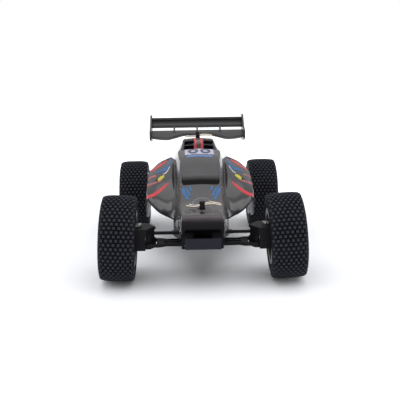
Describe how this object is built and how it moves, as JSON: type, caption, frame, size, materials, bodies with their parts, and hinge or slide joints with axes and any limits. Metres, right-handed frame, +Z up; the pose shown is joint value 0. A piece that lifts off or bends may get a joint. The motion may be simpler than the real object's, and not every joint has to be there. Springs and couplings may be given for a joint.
{
  "type": "remote control car",
  "caption": "Off-road toy racing buggy with pin-tread wheels, sprung arms and steering in front, a sprung drive unit at the rear, a clip-on body and a wing.",
  "frame": {"origin": "on the ground under the middle of the car's bounding box", "axes": "+Y points to the rear of the car, +X to the car's left, +Z up"},
  "size_m": [0.1734, 0.2426, 0.1176],
  "materials": {
    "black_plastic": "fine moulded satin",
    "bumper_plastic": "satin blue-grey",
    "rim_plastic": "satin black",
    "servo_plastic": "satin",
    "tyre_rubber": "matt moulded rubber",
    "steel": "bright zinc plated",
    "clip_wire": "drawn wire",
    "motor_can": "plated can",
    "bronze": "sintered bronze or brass",
    "nylon": "natural nylon",
    "battery_wrap": "shrink wrap",
    "circuit_board": "solder mask",
    "shell_plastic": "glossy dark grey with red, blue and yellow flashes",
    "wing_plastic": "satin dark grey"
  },
  "bodies": {
    "chassis": {"chassis_tub": "black_plastic", "front_bulkhead": "black_plastic", "bulkhead_cap": "black_plastic", "front_bumper": "bumper_plastic", "steering_servo": "servo_plastic", "battery_pack": "battery_wrap", "battery_door": "black_plastic", "receiver_board": "circuit_board", "power_switch": "servo_plastic", "arm_pin_left": "steel", "arm_pin_right": "steel", "swing_pin": "steel", "rear_tower": "black_plastic", "front_spring_left": "steel", "front_spring_right": "steel", "rear_spring_left": "steel", "rear_spring_right": "steel", "body_shell": "shell_plastic", "front_body_clip": "clip_wire", "rear_body_clip": "clip_wire", "wing": "wing_plastic"},
    "switch_knob": {"switch_knob": "nylon"},
    "servo_horn": {"servo_horn": "nylon"},
    "steering_link": {"steering_link": "black_plastic"},
    "lower_arm_left": {"lower_arm_left": "black_plastic"},
    "upper_link_left": {"upper_link_left": "black_plastic"},
    "carrier_left": {"steering_carrier_left": "black_plastic", "kingpin_screw_left": "steel"},
    "knuckle_left": {"steering_knuckle_left": "black_plastic"},
    "front_wheel_left": {"front_rim_left": "rim_plastic", "front_tyre_left": "tyre_rubber", "front_bush_left": "bronze", "front_wheel_nut_left": "steel"},
    "tie_rod_left": {"tie_rod_left": "black_plastic"},
    "lower_arm_right": {"lower_arm_right": "black_plastic"},
    "upper_link_right": {"upper_link_right": "black_plastic"},
    "carrier_right": {"steering_carrier_right": "black_plastic", "kingpin_screw_right": "steel"},
    "knuckle_right": {"steering_knuckle_right": "black_plastic"},
    "front_wheel_right": {"front_rim_right": "rim_plastic", "front_tyre_right": "tyre_rubber", "front_bush_right": "bronze", "front_wheel_nut_right": "steel"},
    "tie_rod_right": {"tie_rod_right": "black_plastic"},
    "rear_unit": {"gearbox_case": "black_plastic", "gearbox_cover": "black_plastic", "drive_motor": "motor_can", "idler_shaft": "steel", "axle_bush_left": "bronze", "axle_bush_right": "bronze"},
    "motor_pinion": {"motor_pinion": "bronze"},
    "idler_gear": {"idler_gear": "nylon"},
    "rear_wheels": {"rear_axle": "steel", "axle_gear": "nylon", "rear_rim_left": "rim_plastic", "rear_rim_right": "rim_plastic", "rear_tyre_left": "tyre_rubber", "rear_tyre_right": "tyre_rubber", "rear_wheel_nut_left": "steel", "rear_wheel_nut_right": "steel"}
  },
  "joints": [
    {"name": "left_arm_bump", "type": "hinge", "parent": "chassis", "child": "lower_arm_left", "pos_m": [0.0145, -0.085, 0.032], "axis": [0, -1, 0], "range_deg": [0, 12], "stiffness_Nm_per_rad": 0.6, "springref_deg": -20.05},
    {"name": "left_upper_link_turn", "type": "hinge", "parent": "chassis", "child": "upper_link_left", "pos_m": [0.0145, -0.085, 0.0405], "axis": [0, -1, 0], "range_deg": [0, 12], "deforming": ["front_spring_left"]},
    {"name": "left_carrier_level", "type": "hinge", "parent": "lower_arm_left", "child": "carrier_left", "pos_m": [0.0435, -0.085, 0.032], "axis": [0, -1, 0], "range_deg": [-12, 0]},
    {"name": "left_steer", "type": "hinge", "parent": "carrier_left", "child": "knuckle_left", "pos_m": [0.053, -0.085, 0.032], "axis": [0, 0, 1], "range_deg": [-20, 20]},
    {"name": "front_left_wheel_spin", "type": "hinge", "parent": "knuckle_left", "child": "front_wheel_left", "pos_m": [0.07, -0.085, 0.03666], "axis": [0.9981, -0.0209, 0.0576], "continuous": true},
    {"name": "right_arm_bump", "type": "hinge", "parent": "chassis", "child": "lower_arm_right", "pos_m": [-0.0145, -0.085, 0.032], "axis": [0, 1, 0], "range_deg": [0, 12], "stiffness_Nm_per_rad": 0.6, "springref_deg": -20.05},
    {"name": "right_upper_link_turn", "type": "hinge", "parent": "chassis", "child": "upper_link_right", "pos_m": [-0.0145, -0.085, 0.0405], "axis": [0, 1, 0], "range_deg": [0, 12], "deforming": ["front_spring_right"]},
    {"name": "right_carrier_level", "type": "hinge", "parent": "lower_arm_right", "child": "carrier_right", "pos_m": [-0.0435, -0.085, 0.032], "axis": [0, 1, 0], "range_deg": [-12, 0]},
    {"name": "right_steer", "type": "hinge", "parent": "carrier_right", "child": "knuckle_right", "pos_m": [-0.053, -0.085, 0.032], "axis": [0, 0, 1], "range_deg": [-20, 20]},
    {"name": "front_right_wheel_spin", "type": "hinge", "parent": "knuckle_right", "child": "front_wheel_right", "pos_m": [-0.07, -0.085, 0.03666], "axis": [0.9981, 0.0209, -0.0576], "continuous": true},
    {"name": "steering_slide", "type": "slide", "parent": "chassis", "child": "steering_link", "axis": [-1, 0, 0], "range_m": [-0.00454, 0.00454]},
    {"name": "servo_turn", "type": "hinge", "parent": "chassis", "child": "servo_horn", "pos_m": [0, -0.0614, 0.037], "axis": [0, 0, 1], "range_deg": [-23.7, 23.7]},
    {"name": "left_tie_rod_tilt", "type": "hinge", "parent": "steering_link", "child": "tie_rod_left", "pos_m": [0.024, -0.0724, 0.037], "axis": [0, -1, 0], "range_deg": [0, 12]},
    {"name": "right_tie_rod_tilt", "type": "hinge", "parent": "steering_link", "child": "tie_rod_right", "pos_m": [-0.024, -0.0724, 0.037], "axis": [0, 1, 0], "range_deg": [0, 12]},
    {"name": "rear_swing", "type": "hinge", "parent": "chassis", "child": "rear_unit", "pos_m": [0, 0.041, 0.03], "axis": [1, 0, 0], "range_deg": [0, 8], "stiffness_Nm_per_rad": 4, "springref_deg": -6.88, "deforming": ["rear_spring_left", "rear_spring_right"]},
    {"name": "rear_axle_spin", "type": "hinge", "parent": "rear_unit", "child": "rear_wheels", "pos_m": [0, 0.083, 0.036], "axis": [1, 0, 0], "continuous": true},
    {"name": "idler_spin", "type": "hinge", "parent": "rear_unit", "child": "idler_gear", "pos_m": [0, 0.071, 0.044], "axis": [1, 0, 0], "continuous": true},
    {"name": "motor_spin", "type": "hinge", "parent": "rear_unit", "child": "motor_pinion", "pos_m": [0, 0.0574, 0.041], "axis": [1, 0, 0], "continuous": true},
    {"name": "switch_slide", "type": "slide", "parent": "chassis", "child": "switch_knob", "axis": [0, 1, 0], "range_m": [0, 0.004]}
  ],
  "couplings": [
    {"joint": "left_upper_link_turn", "follows": "left_arm_bump", "ratio": 1},
    {"joint": "left_carrier_level", "follows": "left_arm_bump", "ratio": -1},
    {"joint": "right_upper_link_turn", "follows": "right_arm_bump", "ratio": 1},
    {"joint": "right_carrier_level", "follows": "right_arm_bump", "ratio": -1},
    {"joint": "right_steer", "follows": "left_steer", "ratio": 1},
    {"joint": "steering_slide", "follows": "left_steer", "m_per_rad": 0.013},
    {"joint": "servo_turn", "follows": "left_steer", "ratio": -1.1818},
    {"joint": "left_tie_rod_tilt", "follows": "left_arm_bump", "ratio": 1},
    {"joint": "right_tie_rod_tilt", "follows": "right_arm_bump", "ratio": 1},
    {"joint": "idler_spin", "follows": "rear_axle_spin", "ratio": -3},
    {"joint": "motor_spin", "follows": "rear_axle_spin", "ratio": 10.8}
  ]
}
